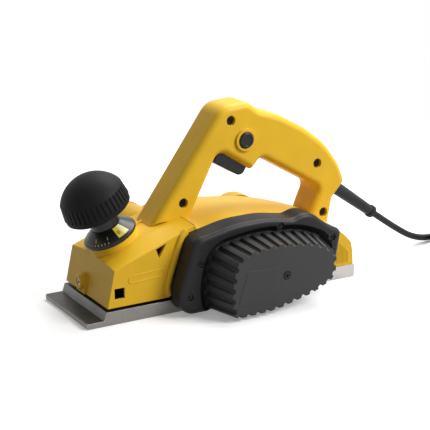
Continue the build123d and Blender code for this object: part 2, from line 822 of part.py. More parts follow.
def pulley(x, z, radius, bore):
    """Flanged pulley with shallow V grooves under the belt."""
    body = rod(x, z, radius, pulley_y0, pulley_y1)
    near = rod(x, z, radius + pulley_flange, pulley_y0, pulley_y0 + pulley_flange_width)
    far = rod(x, z, radius + pulley_flange, pulley_y1 - pulley_flange_width, pulley_y1)
    body = body + near + far - rod(x, z, bore + 0.01, -120, 120)
    for i in range(pulley_groove_count):
        y = belt_y + (i - (pulley_groove_count - 1) / 2) * pulley_groove_pitch
        body -= tube(x, z, radius + 1, radius - pulley_groove_depth, y - 0.5, y + 0.5)
    return body


def drum_nut():
    nut = side_plane(pulley_y0) * Pos(0, drum_z) * RegularPolygon(9, 6)
    washer = rod(0, drum_z, drum_bore + 4, pulley_y0 - 1, pulley_y0)
    return extrude(nut, 5.5) + washer - rod(0, drum_z, drum_bore, -120, 120)


def drive_belt():
    """Belt loop round both pulleys, just clear of them."""
    loops = []
    for extra in (belt_gap + belt_thickness, belt_gap):
        big = Pos(0, drum_z) * Circle(drum_pulley_radius + extra)
        small = Pos(motor_x, motor_z) * Circle(motor_pulley_radius + extra)
        loops.append(make_face(make_hull(big.edges() + small.edges())))
    return slab(loops[0] - loops[1], belt_y - belt_width / 2, belt_y + belt_width / 2)


# ---------------------------------------------------------------- motor
winding_half = stator_half + winding_reach
fan_y0 = side_y + fan_front
fan_y1 = fan_y0 + fan_depth
commutator_y0 = winding_half + commutator_gap
commutator_y1 = commutator_y0 + commutator_length
brush_y0 = commutator_y0 + brush_margin
brush_y1 = commutator_y1 - brush_margin
brush_start = commutator_radius + small_gap


def motor_ray(angle, radius, y):
    """Frame at a radius from the motor's axis: x is radial, z runs along the motor."""
    direction = (cos(angle), 0, sin(angle))
    origin = (motor_x + radius * direction[0], y, motor_z + radius * direction[2])
    return Plane(origin=origin, x_dir=direction, z_dir=(0, -1, 0))


def armature_shaft():
    end = body_half + end_cap_depth - end_cap_wall
    return rod(motor_x, motor_z, shaft_radius - 0.01, shaft_end_y, end)


def armature_core():
    core = rod(motor_x, motor_z, armature_radius, -stator_half, stator_half)
    for i in range(armature_slots):
        angle = 2 * pi * i / armature_slots
        core -= motor_ray(angle, armature_radius, 0) * Box(slot_depth, slot_width, 4 * stator_half)
    return core - rod(motor_x, motor_z, shaft_radius, -60, 60)


def armature_windings():
    near = tube(motor_x, motor_z, armature_radius - 1, shaft_radius + 1.5, -winding_half, -stator_half)
    far = tube(motor_x, motor_z, armature_radius - 1, shaft_radius + 1.5, stator_half, winding_half)
    return joined([near, far])


def commutator():
    body = tube(motor_x, motor_z, commutator_radius, shaft_radius, commutator_y0, commutator_y1)
    for i in range(armature_slots * 2):
        angle = pi * i / armature_slots
        slot = motor_ray(angle, commutator_radius, commutator_y1)
        body -= slot * Box(1.2, 0.4, 2 * (commutator_length - 2))
    return body


def cooling_fan():
    hub = tube(motor_x, motor_z, shaft_radius + fan_hub, shaft_radius, fan_y0, fan_y1)
    disc_part = tube(motor_x, motor_z, fan_radius, shaft_radius, fan_y0, fan_y0 + fan_disc)
    fan = hub + disc_part
    for i in range(fan_blades):
        angle = 360 * i / fan_blades
        frame = Plane(origin=(motor_x, (fan_y0 + fan_y1) / 2, motor_z), z_dir=(0, -1, 0), x_dir=(1, 0, 0))
        inner = shaft_radius + fan_hub / 2
        blade = Box(fan_radius - inner, 1.4, fan_depth)
        fan += frame * Rot(0, 0, angle) * Pos((fan_radius + inner) / 2, 0, 0) * blade
    return fan


def stator_core():
    core = tube(motor_x, motor_z, motor_bore - seat_gap, armature_radius + air_gap, -stator_half, stator_half)
    return core - coil_ring(small_gap)


def coil_ring(grow):
    """Two field coil slots, above and below the armature."""
    outer = stator_slot_outer + grow
    inner = armature_radius + air_gap + 1.6 - grow
    ring = tube(motor_x, motor_z, outer, inner, -winding_half, winding_half)
    side = slab(Pos(motor_x, motor_z) * Rectangle(2 * (coil_half + grow), 200), -60, 60)
    return ring & side


def field_coils():
    pair = coil_ring(0)
    return joined([pair & box(0, 200, -60, 60, motor_z, 200), pair & box(0, 200, -60, 60, 0, motor_z)])


def motor_pulley():
    return pulley(motor_x, motor_z, motor_pulley_radius, shaft_radius)


def drum_pulley():
    return pulley(0, drum_z, drum_pulley_radius, drum_bore)


def brush_block(side, start, end, grow):
    half = brush_half + grow
    x0 = motor_x + side * start
    x1 = motor_x + side * end
    return box(min(x0, x1), max(x0, x1), brush_y0 - grow, brush_y1 + grow, motor_z - half, motor_z + half)


def carbon_brushes():
    return joined([brush_block(side, brush_start, brush_start + brush_length, 0) for side in (-1, 1)])


def brush_holders():
    holders = []
    for side in (-1, 1):
        sleeve = brush_block(side, brush_start + 1.5, motor_bore - 1.2, holder_wall)
        holders.append(sleeve - brush_block(side, 0, brush_start + brush_length + 0.5, seat_gap))
    return joined(holders)


def motor_end_cap():
    """Round vented cap on the far side; carries the rear motor bearing."""
    end = body_half + end_cap_depth
    cap = rod(motor_x, motor_z, end_cap_radius, body_half, end)
    cap = fillet(cap.edges().sort_by(Axis.Y)[-1], 4)
    cap -= rod(motor_x, motor_z, motor_bore, body_half - 1, end - end_cap_wall - motor_bearing_width)
    cap -= rod(motor_x, motor_z, motor_bearing_outer_radius + seat_gap, body_half, end - end_cap_wall)
    for i in range(vent_count):
        angle = 360 * (i + 0.5) / vent_count
        frame = Plane(origin=(motor_x, end, motor_z), z_dir=(0, 1, 0), x_dir=(1, 0, 0)) * Rot(0, 0, angle)
        cap -= frame * Pos(vent_radius, 0, 0) * Box(vent_length, vent_width, 40)
    return cap


def chip_chute():
    """Bolt-on outlet spout for the chips."""
    end = body_half + chute_reach
    spout = rod(chute_x, chute_z, spout_bore + spout_wall, body_half, end)
    flange = rod(chute_x, chute_z, duct_radius + chute_wall, body_half, body_half + spout_rim)
    rim = rod(chute_x, chute_z, duct_radius + chute_wall, end - spout_rim, end)
    return spout + flange + rim - rod(chute_x, chute_z, spout_bore, body_half - 1, end + 1)


# ---------------------------------------------------------------- handle
grip_frame = Plane(
    origin=(grip_origin[0], 0, grip_origin[1]),
    x_dir=(cos(radians(grip_slope)), 0, -sin(radians(grip_slope))), z_dir=(0, -1, 0))


def grip_point(along, inward):
    """Side-view place from distances along and into the trigger's underside."""
    turn = radians(grip_slope)
    x = grip_origin[0] + along * cos(turn) + inward * sin(turn)
    z = grip_origin[1] - along * sin(turn) + inward * cos(turn)
    return x, z


def grip_slab(face, half):
    """A face in the trigger's own frame, extruded to both sides of the middle."""
    return extrude(grip_frame * Pos(0, 0, -half) * face, 2 * half)


handle_outline = [
    (-84, 48, 0), (10.6, 179.2, 20), (39, 181, 13), (50.5, 172, 14), (72, 165.6, 80), (104, 148.6, 110),
    (128, 130, 70), (144.5, 108, 40), (152.5, 89.5, 9), (138, 74.5, 8), (131.5, 40, 0), (104, 40, 0),
    (112, 66, 60), (121.5, 87.5, 8),
    (*grip_point(47.6, grip_step), 6), (*grip_point(44.6, -2.2), 3.5), (*grip_point(1.5, 0), 8),
    (-30, 66, 12), (-33, 56, 0),
]


def handle_body():
    face = rounded(handle_outline)
    body = slab(face, -handle_half, handle_half)
    side_edges = body.faces().filter_by(Axis.Y).edges()
    long_edges = [e for e in side_edges if e.center().Z > handle_round_start]
    return fillet(long_edges, handle_round)


def handle_cavity():
    inner = offset(rounded(handle_outline), -handle_wall)
    cavity = slab(inner, -handle_half + handle_wall, handle_half - handle_wall)
    for x, z in handle_screw_spots:
        cavity -= rod(x, z, handle_hole_radius + 1.8, -60, 60)
    return cavity


def trigger_outline(grow):
    reach = trigger_reach + grow
    corners = [(trigger_front - grow, -reach), (trigger_rear + grow, -reach),
               (trigger_rear + grow, trigger_inside), (trigger_front - grow, trigger_inside)]
    radii = [1.5, 6.5, 0.8, 0.8]
    return make_face(FilletPolyline(*corners, radius=radii, close=True))


def filled_body():
    """The space of both housings without their hollows, which the handle stands on."""
    outlet, neck = duct(duct_radius + wall, body_half)
    return [front_shell(0), main_shell(0), outlet, disc(boss_radius, -boss_depth, 0)]


def handle_whole():
    handle = handle_body() - handle_cavity()
    slot_length = trigger_rear - trigger_front + 2 * moving_gap + 0.2
    slot = Pos((trigger_front + trigger_rear) / 2, 0) * Rectangle(slot_length, 2 * (handle_wall + 1.5))
    handle -= grip_slab(slot, trigger_half + moving_gap)
    ring = rod(lock_x, lock_z, lock_ring_radius, -handle_half - lock_ring_height, -handle_half + handle_wall)
    handle += ring
    handle -= rod(lock_x, lock_z, lock_radius + small_gap, -60, -handle_half + handle_wall + 1)
    for x, z in handle_screw_spots:
        handle -= rod(x, z, handle_hole_radius, -60, -handle_half + handle_counterbore)
        handle -= rod(x, z, handle_screw_radius + seat_gap, -60, handle_screw_grip + 1)
    handle -= relief_cylinder(relief_root + seat_gap, -40, 20)
    for solid in filled_body():
        handle -= solid
    return handle


def handle_side(handle, sign):
    half = box(-300, 300, 0, 60, 0, 300) if sign > 0 else box(-300, 300, -60, 0, 0, 300)
    return (handle & half).solids().sort_by(SortBy.VOLUME)[-1]


def handle_screws():
    screws = []
    start = -handle_half + handle_counterbore
    for x, z in handle_screw_spots:
        head = rod(x, z, handle_screw_head, start - head_height, start)
        shank = rod(x, z, handle_screw_radius, start, handle_screw_grip)
        screws.append(cross_slotted(head + shank, x, z, start - head_height))
    return joined(screws)


def trigger():
    body = grip_slab(trigger_outline(0), trigger_half)
    flange_start = handle_wall + small_gap
    middle = Pos((trigger_front + trigger_rear) / 2, (flange_start + trigger_inside) / 2)
    flange = middle * Rectangle(trigger_rear - trigger_front, trigger_inside - flange_start)
    lip = grip_slab(flange, trigger_half + trigger_flange)
    lower = body.edges().filter_by(lambda e: abs(abs(e.center().Y) - trigger_half) < 0.01)
    outer = [e for e in lower if grip_frame.to_local_coords(e.center()).Y < 0]
    return fillet(outer, 1.4) + lip


switch_start = trigger_inside + trigger_travel + moving_gap + small_gap


def switch_module():
    size = Pos((trigger_front + trigger_rear) / 2, switch_start + switch_height / 2) * Rectangle(
        trigger_rear - trigger_front - 4, switch_height)
    nub = Pos((trigger_front + trigger_rear) / 2, switch_start) * Rectangle(5, 2 * switch_nub)
    return grip_slab(size, switch_half) + grip_slab(nub, 3)


def trigger_spring():
    start = trigger_inside + small_gap + trigger_spring_wire / 2
    place = grip_frame * Pos(trigger_front + trigger_spring_place, start, 0) * Rot(-90, 0, 0)
    length = switch_start - trigger_inside - 2 * (small_gap + trigger_spring_wire / 2)
    return place * spring(trigger_spring_radius, trigger_spring_wire, length, 3)


def lock_button():
    face_y = -handle_half - lock_ring_height - lock_proud
    button = rod(lock_x, lock_z, lock_radius, face_y, -handle_half + 0.5)
    button = fillet(button.edges().sort_by(Axis.Y)[0], 0.9)
    return button + rod(lock_x, lock_z, lock_stem_radius, -handle_half, lock_inner_y)


def lock_spring():
    start = lock_inner_y + small_gap + lock_spring_wire / 2
    length = -switch_half - small_gap - lock_spring_wire / 2 - start
    coil = spring(lock_spring_radius, lock_spring_wire, length, 3)
    return Pos(lock_x, start, lock_z) * Rot(-90, 0, 0) * coil


def suppressor():
    """Interference capacitor lying against the side wall in the hollow of the grip."""
    seat = handle_half - handle_wall - small_gap - suppressor_size[2] / 2
    block = grip_frame * Pos(*suppressor_place, seat) * Box(*suppressor_size)
    return fillet(block.edges(), 1.0)


# ---------------------------------------------------------------- depth knob
def turned(points):
    """Ring turned about the knob's axis from (radius, height) corners."""
    profile = Plane.XZ * polygon(points)
    return knob_axis * revolve(profile, Axis.Z)


core_top = knob_top - cap_skin


def dome(radius, start, top, foot_radius):
    """Solid of revolution under a round cap: radius at its rim, apex at the top."""
    side = Line((foot_radius, start[1]), (radius, start[0]))
    rise = top - start[0]
    sphere = (radius ** 2 + rise ** 2) / (2 * rise)
    middle_height = top - sphere + sphere * cos(radians(45) * radius / sphere)
    middle = (sphere * sin(radians(45) * radius / sphere), middle_height)
    arc = ThreePointArc((radius, start[0]), middle, (0, top))
    outline = [Line((0, start[1]), (foot_radius, start[1])), side, arc, Line((0, top), (0, start[1]))]
    return knob_axis * revolve(Plane.XZ * make_face(outline), Axis.Z)


def depth_dial():
    inner = spindle_radius + seat_gap
    return turned([
        (inner, dial_start), (dial_radius - 0.6, dial_start), (dial_radius, dial_start + 0.8),
        (dial_radius, dial_rim), (dial_radius - 0.9, dial_rim + 0.8), (neck_radius + 0.5, dial_height),
        (inner, dial_height),
    ])


def knob_core():
    neck = disc(neck_radius, dial_height, knob_lip_start + 1)
    foot_radius = knob_lip_radius - cap_skin - 1.5
    head = dome(knob_radius - cap_skin, (rib_end, knob_lip_start + 0.6), core_top, foot_radius)
    return neck + head - disc(spindle_radius + seat_gap, 0, spindle_top + 0.3)


def knob_grip():
    foot_radius = knob_lip_radius + rib_step
    outer = dome(knob_radius, (rib_end, rib_start), knob_top, foot_radius)
    skin = outer + turned([
        (0, knob_lip_start), (knob_lip_radius - 1.6, knob_lip_start), (knob_lip_radius, knob_lip_start + 1.4),
        (knob_lip_radius, rib_start), (0, rib_start),
    ])
    flank_radius = (knob_radius + foot_radius) / 2
    lean = Rot(0, -degrees(atan2(foot_radius - knob_radius, rib_end - rib_start)), 0)
    for i in range(knob_rib_count):
        turn = Rot(0, 0, 360 * i / knob_rib_count)
        groove = knob_axis * turn * Pos(flank_radius + rib_clear, 0, (rib_start + rib_end) / 2)
        skin -= groove * lean * Box(2 * (rib_clear + knob_rib_depth), rib_width, rib_end - rib_start)
    skin -= disc(neck_radius, 0, knob_lip_start + 1)
    return skin - (knob_core() + disc(spindle_radius + 1, 0, spindle_top + 1))


def depth_spindle():
    return disc(spindle_radius, spindle_start, spindle_top)


# ---------------------------------------------------------------- strain relief and cord
relief_direction = (cos(radians(relief_drop)), 0, -sin(radians(relief_drop)))
relief_axis = Plane(origin=(cord_exit[0], 0, cord_exit[1]), z_dir=relief_direction, x_dir=(0, 1, 0))


def relief_cylinder(radius, start, end):
    return relief_axis * Pos(0, 0, (start + end) / 2) * Cylinder(radius, end - start)


def strain_relief():
    """Tapered rubber sleeve with a locking collar inside the handle and a bead at its tip."""
    bore = cord_radius + seat_gap
    bead = relief_tip + relief_bead
    bead_start = relief_length - relief_bead_length
    profile = polygon([
        (bore, -relief_inside), (relief_root, -relief_inside), (relief_root, 1.0), (relief_tip, bead_start),
        (bead, bead_start), (bead, relief_length), (bore, relief_length),
    ])
    return relief_axis * revolve(Plane.XZ * profile, Axis.Z)


relief_end = (
    cord_exit[0] + relief_length * relief_direction[0], 0,
    cord_exit[1] + relief_length * relief_direction[2])
# The cord's route: out of the strain relief, down to the floor and up to the coil.
cord_points = [
    relief_end, tuple(end + first_run * step for end, step in zip(relief_end, relief_direction)),
    (234.5, 0.5, 22.2), (253.5, 2.0, 11.0), (275.0, 5.0, 4.6), (299.0, 7.9, 3.6), (321.0, 8.9, 3.6),
]


def cord_radii():
    """Arc radius at each corner: 0.45 of the shorter run over the tangent of half the turn."""
    radii = []
    for before, here, after in zip(cord_points, cord_points[1:], cord_points[2:]):
        run_in = Vector(*here) - Vector(*before)
        run_out = Vector(*after) - Vector(*here)
        turn = radians(run_in.get_angle(run_out))
        radii.append(0.45 * min(run_in.length, run_out.length) / tan(turn / 2))
    return radii


def power_cord():
    radii = cord_radii()
    path = FilletPolyline(*cord_points, radius=radii)
    profile = Plane(origin=path @ 0, z_dir=path % 0) * Circle(cord_radius)
    cord = sweep(profile, path=path)
    print("cord radii", [round(r) for r in radii], "volume / (section x length)",
          round(cord.volume / (pi * cord_radius ** 2 * path.length), 4))
    return cord


def inner_cord():
    """The cord inside the strain relief and the handle, up to its clamp."""
    return relief_cylinder(cord_radius, -relief_inside - inner_cord_length, relief_length)


def cord_clamp():
    bridge = relief_axis * Pos(0, 0, -relief_inside - clamp_place) * Box(*clamp_size)
    return bridge - relief_cylinder(cord_radius + seat_gap, -60, 60)


coil_half_width = coil_columns * cord_radius
coil_height = coil_layers * 2 * cord_radius


def cord_coil():
    ring = ring_face(coil_mid_radius + coil_half_width, coil_mid_radius - coil_half_width)
    coil = Pos(coil_x, coil_y) * extrude(ring, coil_height)
    outer_edges = coil.edges().filter_by(GeomType.CIRCLE)
    return fillet(outer_edges, cord_radius * 0.8)


plug_x = coil_x + plug_offset[0]
plug_y = coil_y + plug_offset[1]
plug_z = coil_height + plug_height / 2


def plug_body():
    """Moulded two-pin plug lying on the coil, its pins towards +X."""
    neck = Pos(plug_x - 2, plug_y, plug_z) * Rot(0, 90, 0) * Cylinder(6.0, 16)
    front = Plane(origin=(plug_x + plug_length, 0, 0), z_dir=(1, 0, 0), x_dir=(0, 1, 0))
    back = Plane(origin=(plug_x + 4, 0, 0), z_dir=(1, 0, 0), x_dir=(0, 1, 0))
    corner = plug_height / 2 - 0.5
    front_face = front * Pos(plug_y, plug_z) * RectangleRounded(2 * plug_half_width, plug_height, corner)
    back_width = 2 * (plug_half_width - 8)
    back_face = back * Pos(plug_y, plug_z) * RectangleRounded(back_width, plug_height - 6, corner - 3)
    body = loft([back_face, front_face], ruled=True) + neck
    return body - plug_pin(-1, seat_gap) - plug_pin(1, seat_gap)


def plug_pin(side, grow):
    """Round pin standing on the plug's face, on a thinner root inside the moulding."""
    place = Pos(plug_x + plug_length, plug_y + side * pin_spread, plug_z) * Rot(0, 90, 0)
    root = place * Pos(0, 0, -pin_root_length / 2) * Cylinder(pin_root_radius + grow, pin_root_length)
    return root + place * Pos(0, 0, pin_length / 2) * Cylinder(pin_radius, pin_length)


def plug_pins():
    return joined([plug_pin(-1, 0), plug_pin(1, 0)])


# ---------------------------------------------------------------- all nodes
handle_solid = handle_whole()
nodes = {
    "rear_shoe": rear_shoe(),
    "shoe_screws": shoe_screws(),
    "front_shoe": front_shoe(),
    "shoe_spring": shoe_spring(),
    "front_housing": front_housing(),
    "main_housing": main_housing(),
    "fence_clamp_screw": fence_clamp_screw(),
    "bearing_plate": bearing_plate(),
    "plate_screws": plate_screws(),
    "drive_cover": drive_cover(),
    "cover_screws": cover_screws(),
    "belt_cover": belt_cover(),
    "belt_cover_screw": belt_cover_screw(),
    "drum_bearing_drive": drum_bearing_drive(),
    "drum_bearing_far": drum_bearing_far(),
    "drum_bearing_cap": drum_bearing_cap(),
    "cutter_drum": cutter_drum(),
    "drum_shaft": drum_shaft(),
    "knife_a": knife(knife_angles[0]),
    "knife_b": knife(knife_angles[1]),
    "knife_clamp_a": knife_clamp(knife_angles[0]),
    "knife_clamp_b": knife_clamp(knife_angles[1]),
    "clamp_bolts": clamp_bolts(),
    "drum_pulley": drum_pulley(),
    "drum_nut": drum_nut(),
    "drive_belt": drive_belt(),
    "motor_pulley": motor_pulley(),
    "armature_shaft": armature_shaft(),
    "armature_core": armature_core(),
    "armature_windings": armature_windings(),
    "commutator": commutator(),
    "cooling_fan": cooling_fan(),
    "stator_core": stator_core(),
    "field_coils": field_coils(),
    "motor_bearing_drive": motor_bearing_drive(),
    "motor_bearing_rear": motor_bearing_rear(),
    "carbon_brushes": carbon_brushes(),
    "brush_holders": brush_holders(),
    "motor_end_cap": motor_end_cap(),
    "chip_chute": chip_chute(),
    "handle_left": handle_side(handle_solid, -1),
    "handle_right": handle_side(handle_solid, 1),
    "handle_screws": handle_screws(),
    "trigger": trigger(),
    "trigger_spring": trigger_spring(),
    "switch_module": switch_module(),
    "lock_button": lock_button(),
    "lock_spring": lock_spring(),
    "suppressor": suppressor(),
    "knob_grip": knob_grip(),
    "knob_core": knob_core(),
    "depth_dial": depth_dial(),
    "depth_spindle": depth_spindle(),
    "strain_relief": strain_relief(),
    "cord_clamp": cord_clamp(),
    "inner_cord": inner_cord(),
    "power_cord": power_cord(),
    "cord_coil": cord_coil(),
    "plug_body": plug_body(),
    "plug_pins": plug_pins(),
}

os.makedirs("parts", exist_ok=True)
for name, shape in nodes.items():
    export_step(shape, f"parts/{name}.step")
print(len(nodes), "nodes written")
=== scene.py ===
"""Looks of an electric hand planer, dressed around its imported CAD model. Units are metres."""
import json
from math import atan2, cos, pi, radians, sin, tan

import bmesh
import bpy
from mathutils import Matrix, Vector


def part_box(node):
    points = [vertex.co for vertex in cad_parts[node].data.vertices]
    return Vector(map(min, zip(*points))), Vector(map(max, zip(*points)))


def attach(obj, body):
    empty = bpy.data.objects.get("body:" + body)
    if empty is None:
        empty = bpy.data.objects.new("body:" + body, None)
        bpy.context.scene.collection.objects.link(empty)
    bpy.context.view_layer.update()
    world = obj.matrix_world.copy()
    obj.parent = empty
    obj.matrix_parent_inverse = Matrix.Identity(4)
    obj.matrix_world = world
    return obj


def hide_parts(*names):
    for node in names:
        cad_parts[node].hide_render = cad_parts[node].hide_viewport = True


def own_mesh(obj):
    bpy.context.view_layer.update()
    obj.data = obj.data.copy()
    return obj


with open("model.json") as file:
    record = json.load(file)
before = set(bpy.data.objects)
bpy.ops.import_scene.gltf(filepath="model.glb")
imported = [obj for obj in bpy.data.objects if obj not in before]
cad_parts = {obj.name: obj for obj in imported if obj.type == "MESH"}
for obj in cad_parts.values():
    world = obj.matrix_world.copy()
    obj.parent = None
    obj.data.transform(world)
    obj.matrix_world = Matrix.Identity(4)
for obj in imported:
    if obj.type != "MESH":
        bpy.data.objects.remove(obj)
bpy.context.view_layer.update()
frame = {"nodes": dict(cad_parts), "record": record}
nodes = frame["nodes"]
MM = 0.001

# ------------------------------------------------------------------ places shared with the CAD model
BODY_HALF = 45 * MM
KNOB_TILT = radians(24.5)
DIAL_CENTRE = Vector((-98, 0, 68.3)) * MM
DIAL_RIM = (24.5, 4.0)        # radius and height of the dial cone's foot, in mm
DIAL_TOP = (14.1, 12.5)       # and of its top
SEAM_X = -35                  # seam between the two housings, in mm
SEAM_TOP = 81
FENCE_CENTRE = Vector((-112, 0, 28)) * MM
RELIEF_EXIT = Vector((147.6, 0, 82.35)) * MM
RELIEF_LENGTH = 63 * MM
RELIEF_DROP = radians(35)
CORD_RADIUS = 3.5 * MM
COIL_CENTRE = Vector((318, -40, 0)) * MM
COIL_MID_RADIUS = 42 * MM
COIL_COLUMNS = 3
COIL_LAYERS = 3

KNOB_AXIS = Vector((-sin(KNOB_TILT), 0, cos(KNOB_TILT)))
KNOB_RIGHT = Vector((cos(KNOB_TILT), 0, sin(KNOB_TILT)))
KNOB_TURNED = Matrix((KNOB_RIGHT, (0, 1, 0), KNOB_AXIS)).transposed().to_4x4()
KNOB_FRAME = Matrix.Translation(DIAL_CENTRE) @ KNOB_TURNED


# ------------------------------------------------------------------ material nodes
class Nodes:
    """A material's node tree with short calls for the nodes used here."""

    def __init__(self, name):
        self.material = bpy.data.materials.new(name)
        self.material.use_nodes = True
        self.tree = self.material.node_tree
        self.shader = self.tree.nodes["Principled BSDF"]
        self.place = self.new("ShaderNodeTexCoord").outputs["Object"]

    def new(self, kind, **settings):
        node = self.tree.nodes.new(kind)
        for key, value in settings.items():
            setattr(node, key, value)
        return node

    def link(self, source, target):
        self.tree.links.new(source, target)

    def put(self, socket, value):
        """Links an output, or sets a plain value, on one input."""
        if isinstance(value, bpy.types.NodeSocket):
            self.link(value, socket)
        else:
            socket.default_value = value

    def noise(self, scale, detail, stretch=(1, 1, 1)):
        """Noise on the object's own coordinates, with a larger stretch for a finer axis."""
        mapping = self.new("ShaderNodeMapping")
        mapping.inputs["Scale"].default_value = stretch
        self.link(self.place, mapping.inputs["Vector"])
        node = self.new("ShaderNodeTexNoise")
        node.inputs["Scale"].default_value = scale
        node.inputs["Detail"].default_value = detail
        node.inputs["Roughness"].default_value = 0.55
        self.link(mapping.outputs["Vector"], node.inputs["Vector"])
        return node.outputs["Fac"]

    def math(self, operation, a, b=0.0, clamp=False):
        node = self.new("ShaderNodeMath", operation=operation, use_clamp=clamp)
        self.put(node.inputs[0], a)
        self.put(node.inputs[1], b)
        return node.outputs[0]

    def spread(self, value, low, high):
        """Maps the middle of a 0..1 value onto low..high."""
        node = self.new("ShaderNodeMapRange")
        self.put(node.inputs["Value"], value)
        node.inputs["From Min"].default_value = 0.3
        node.inputs["From Max"].default_value = 0.7
        node.inputs["To Min"].default_value = low
        node.inputs["To Max"].default_value = high
        return node.outputs["Result"]

    def mix(self, fac, a, b):
        node = self.new("ShaderNodeMix", data_type="RGBA")
        self.put(node.inputs["Factor"], fac)
        self.put(node.inputs["A"], (*a, 1) if isinstance(a, tuple) else a)
        self.put(node.inputs["B"], (*b, 1) if isinstance(b, tuple) else b)
        return node.outputs["Result"]

    def facing_up(self):
        """About 1 on faces that look upwards on the resting object, 0 on the others."""
        coordinates = self.new("ShaderNodeTexCoord")
        parts = self.new("ShaderNodeSeparateXYZ")
        self.link(coordinates.outputs["Normal"], parts.inputs[0])
        return self.math("MULTIPLY", parts.outputs["Z"], 1.0, clamp=True)

    def edge_wear_and_highlight(self, radius, gain):
        """About 1 on convex edges, from the difference between rounded and true normals."""
        bevel = self.new("ShaderNodeBevel", samples=6)
        bevel.inputs["Radius"].default_value = radius
        geometry = self.new("ShaderNodeNewGeometry")
        dot = self.new("ShaderNodeVectorMath", operation="DOT_PRODUCT")
        self.link(bevel.outputs["Normal"], dot.inputs[0])
        self.link(geometry.outputs["Normal"], dot.inputs[1])
        away = self.math("SUBTRACT", 1.0, dot.outputs["Value"])
        return self.math("MULTIPLY", away, gain, clamp=True)

    def relief(self, heights, edge_radius):
        """Bumps from (height output, strength, distance) on top of softly rounded edges."""
        bevel = self.new("ShaderNodeBevel", samples=8)
        bevel.inputs["Radius"].default_value = edge_radius
        normal = bevel.outputs["Normal"]
        for height, strength, distance in heights:
            bump = self.new("ShaderNodeBump")
            bump.inputs["Strength"].default_value = strength
            bump.inputs["Distance"].default_value = distance
            self.link(height, bump.inputs["Height"])
            self.link(normal, bump.inputs["Normal"])
            normal = bump.outputs["Normal"]
        self.link(normal, self.shader.inputs["Normal"])

    def set(self, **values):
        for key, value in values.items():
            self.put(self.shader.inputs[key.replace("_", " ")], value)


def darker(colour, share):
    return tuple(c * share for c in colour)


def moulded_plastic(name, colour, wear_and_highlight, roughness, grain, edge=0.7 * MM, specular=0.5):
    """Injection-moulded plastic: faint mottling, spark-eroded grain, lighter edges that are partly
    rubbed wear and partly painted highlight.
    """
    m = Nodes(name)
    broad = m.noise(24, 2)
    fine = m.noise(grain, 3)
    scuffs = m.noise(260, 4, (1, 1, 6))
    shade = m.mix(m.spread(broad, 0.0, 1.0), colour, darker(colour, 0.90))
    # lighter convex edges in scuffed patches: partly rubbed wear, partly painted highlight
    rubbed_and_highlit = m.math("MULTIPLY", m.edge_wear_and_highlight(0.9 * MM, 2.2), m.spread(scuffs, 0.15, 0.6))
    m.set(Base_Color=m.mix(rubbed_and_highlit, shade, wear_and_highlight),
          Roughness=m.spread(fine, roughness - 0.05, roughness + 0.07))
    m.shader.inputs["Specular IOR Level"].default_value = specular
    m.relief([(fine, 0.22, 0.00012), (broad, 0.05, 0.0004)], edge)
    return m.material


def cast_aluminium(name, colour, roughness, stretch, skin=1.0):
    """Milled casting: cutter lines, cloudy oxide, bright edges that are partly rubbed wear and partly
    painted highlight; skin darkens its upper faces.
    """
    m = Nodes(name)
    lines = m.noise(420, 3, stretch)
    clouds = m.noise(38, 4)
    spots = m.noise(300, 3)
    shade = m.mix(m.spread(clouds, 0, 1), colour, darker(colour, 0.80))
    shade = m.mix(m.spread(lines, 0, 0.35), shade, darker(colour, 0.72))
    shade = m.mix(m.facing_up(), shade, darker(colour, skin))
    # bright convex edges in spotty patches: partly rubbed wear, partly painted highlight
    bright_wear_and_highlight = m.math("MULTIPLY", m.edge_wear_and_highlight(0.5 * MM, 2.5), m.spread(spots, 0.35, 1.0))
    m.set(Base_Color=m.mix(bright_wear_and_highlight, shade, (0.80, 0.79, 0.77)), Metallic=0.85,
          Roughness=m.spread(clouds, roughness - 0.06, roughness + 0.10))
    m.relief([(lines, 0.20, 0.0001), (spots, 0.12, 0.0001)], 0.3 * MM)
    return m.material


def plain_steel(name, colour, roughness):
    """Turned or ground steel: fine lines and slight stains."""
    m = Nodes(name)
    lines = m.noise(700, 2, (1, 6, 1))
    stains = m.noise(60, 4)
    shade = m.mix(m.spread(stains, 0, 1), colour, darker(colour, 0.78))
    m.set(Base_Color=shade, Metallic=1.0,
          Roughness=m.spread(lines, roughness - 0.05, roughness + 0.08))
    m.relief([(lines, 0.12, 0.00008)], 0.25 * MM)
    return m.material


def soft_rubber(name, colour, roughness, specular=0.20):
    """Moulded rubber: dull, finely pitted, with dusty patches."""
    m = Nodes(name)
    pits = m.noise(1400, 2)
    dust = m.noise(55, 4)
    shade = m.mix(m.spread(dust, 0, 1), colour, tuple(c * 1.6 + 0.002 for c in colour))
    m.set(Base_Color=shade, Roughness=m.spread(dust, roughness - 0.04, roughness + 0.06))
    m.shader.inputs["Specular IOR Level"].default_value = specular
    m.relief([(pits, 0.25, 0.0001)], 0.5 * MM)
    return m.material


def wound_copper(name):
    """Enamelled wire laid side by side."""
    m = Nodes(name)
    wires = m.new("ShaderNodeTexWave", wave_type="BANDS", bands_direction="Y")
    wires.inputs["Scale"].default_value = 240
    wires.inputs["Distortion"].default_value = 1.5
    m.link(m.place, wires.inputs["Vector"])
    shade = m.mix(wires.outputs["Fac"], (0.42, 0.13, 0.045), (0.72, 0.30, 0.12))
    m.set(Base_Color=shade, Metallic=0.9, Roughness=0.32)
    m.relief([(wires.outputs["Fac"], 0.5, 0.0003)], 0.2 * MM)
    return m.material


